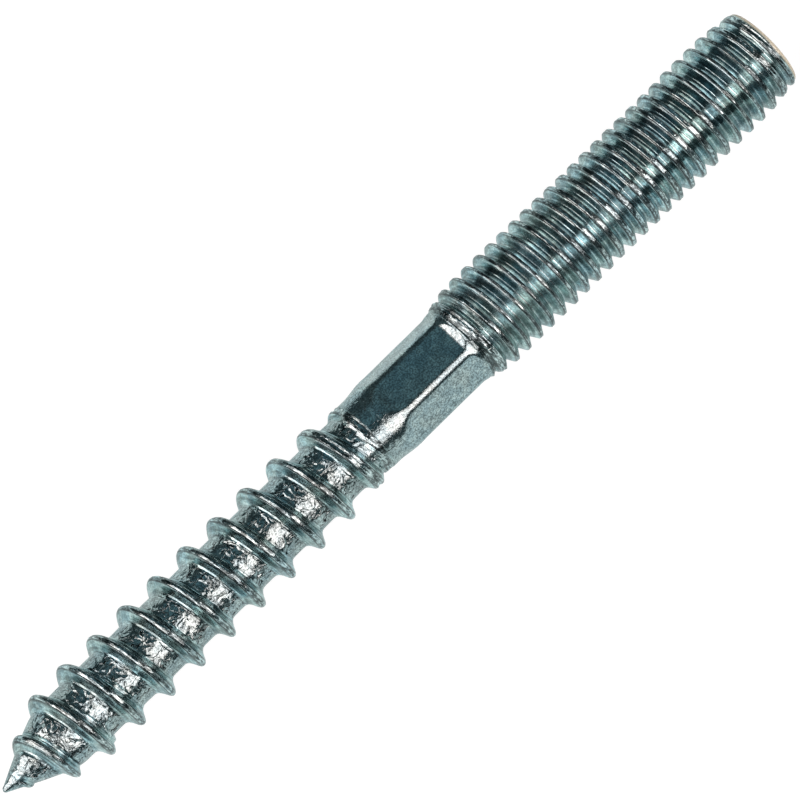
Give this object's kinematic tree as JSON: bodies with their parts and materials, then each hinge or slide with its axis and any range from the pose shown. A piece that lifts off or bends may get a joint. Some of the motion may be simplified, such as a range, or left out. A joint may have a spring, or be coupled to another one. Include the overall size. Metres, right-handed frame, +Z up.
{
  "type": "hanger bolt",
  "caption": "One-piece steel hanger bolt: machine thread with a tapered flat end, short hexagon shank to turn it by, and a coarse wood thread that runs out to a point.",
  "frame": {"origin": "on the bolt's axis, at the plane where the machine thread meets the shank", "axes": "+X along the axis towards the flat machine end, the point lies towards -X; +Z up, square to one flat of the hexagon; the bolt lies on the crests of its threads"},
  "size_m": [0.0805, 0.0078, 0.0078],
  "materials": {
    "zinc_plate": "blue-white zinc plate over thread-rolled steel, glossy, with a wrinkled skin between the wood thread's turns"
  },
  "bodies": {
    "root": {"hanger_bolt": "zinc_plate"}
  },
  "joints": []
}
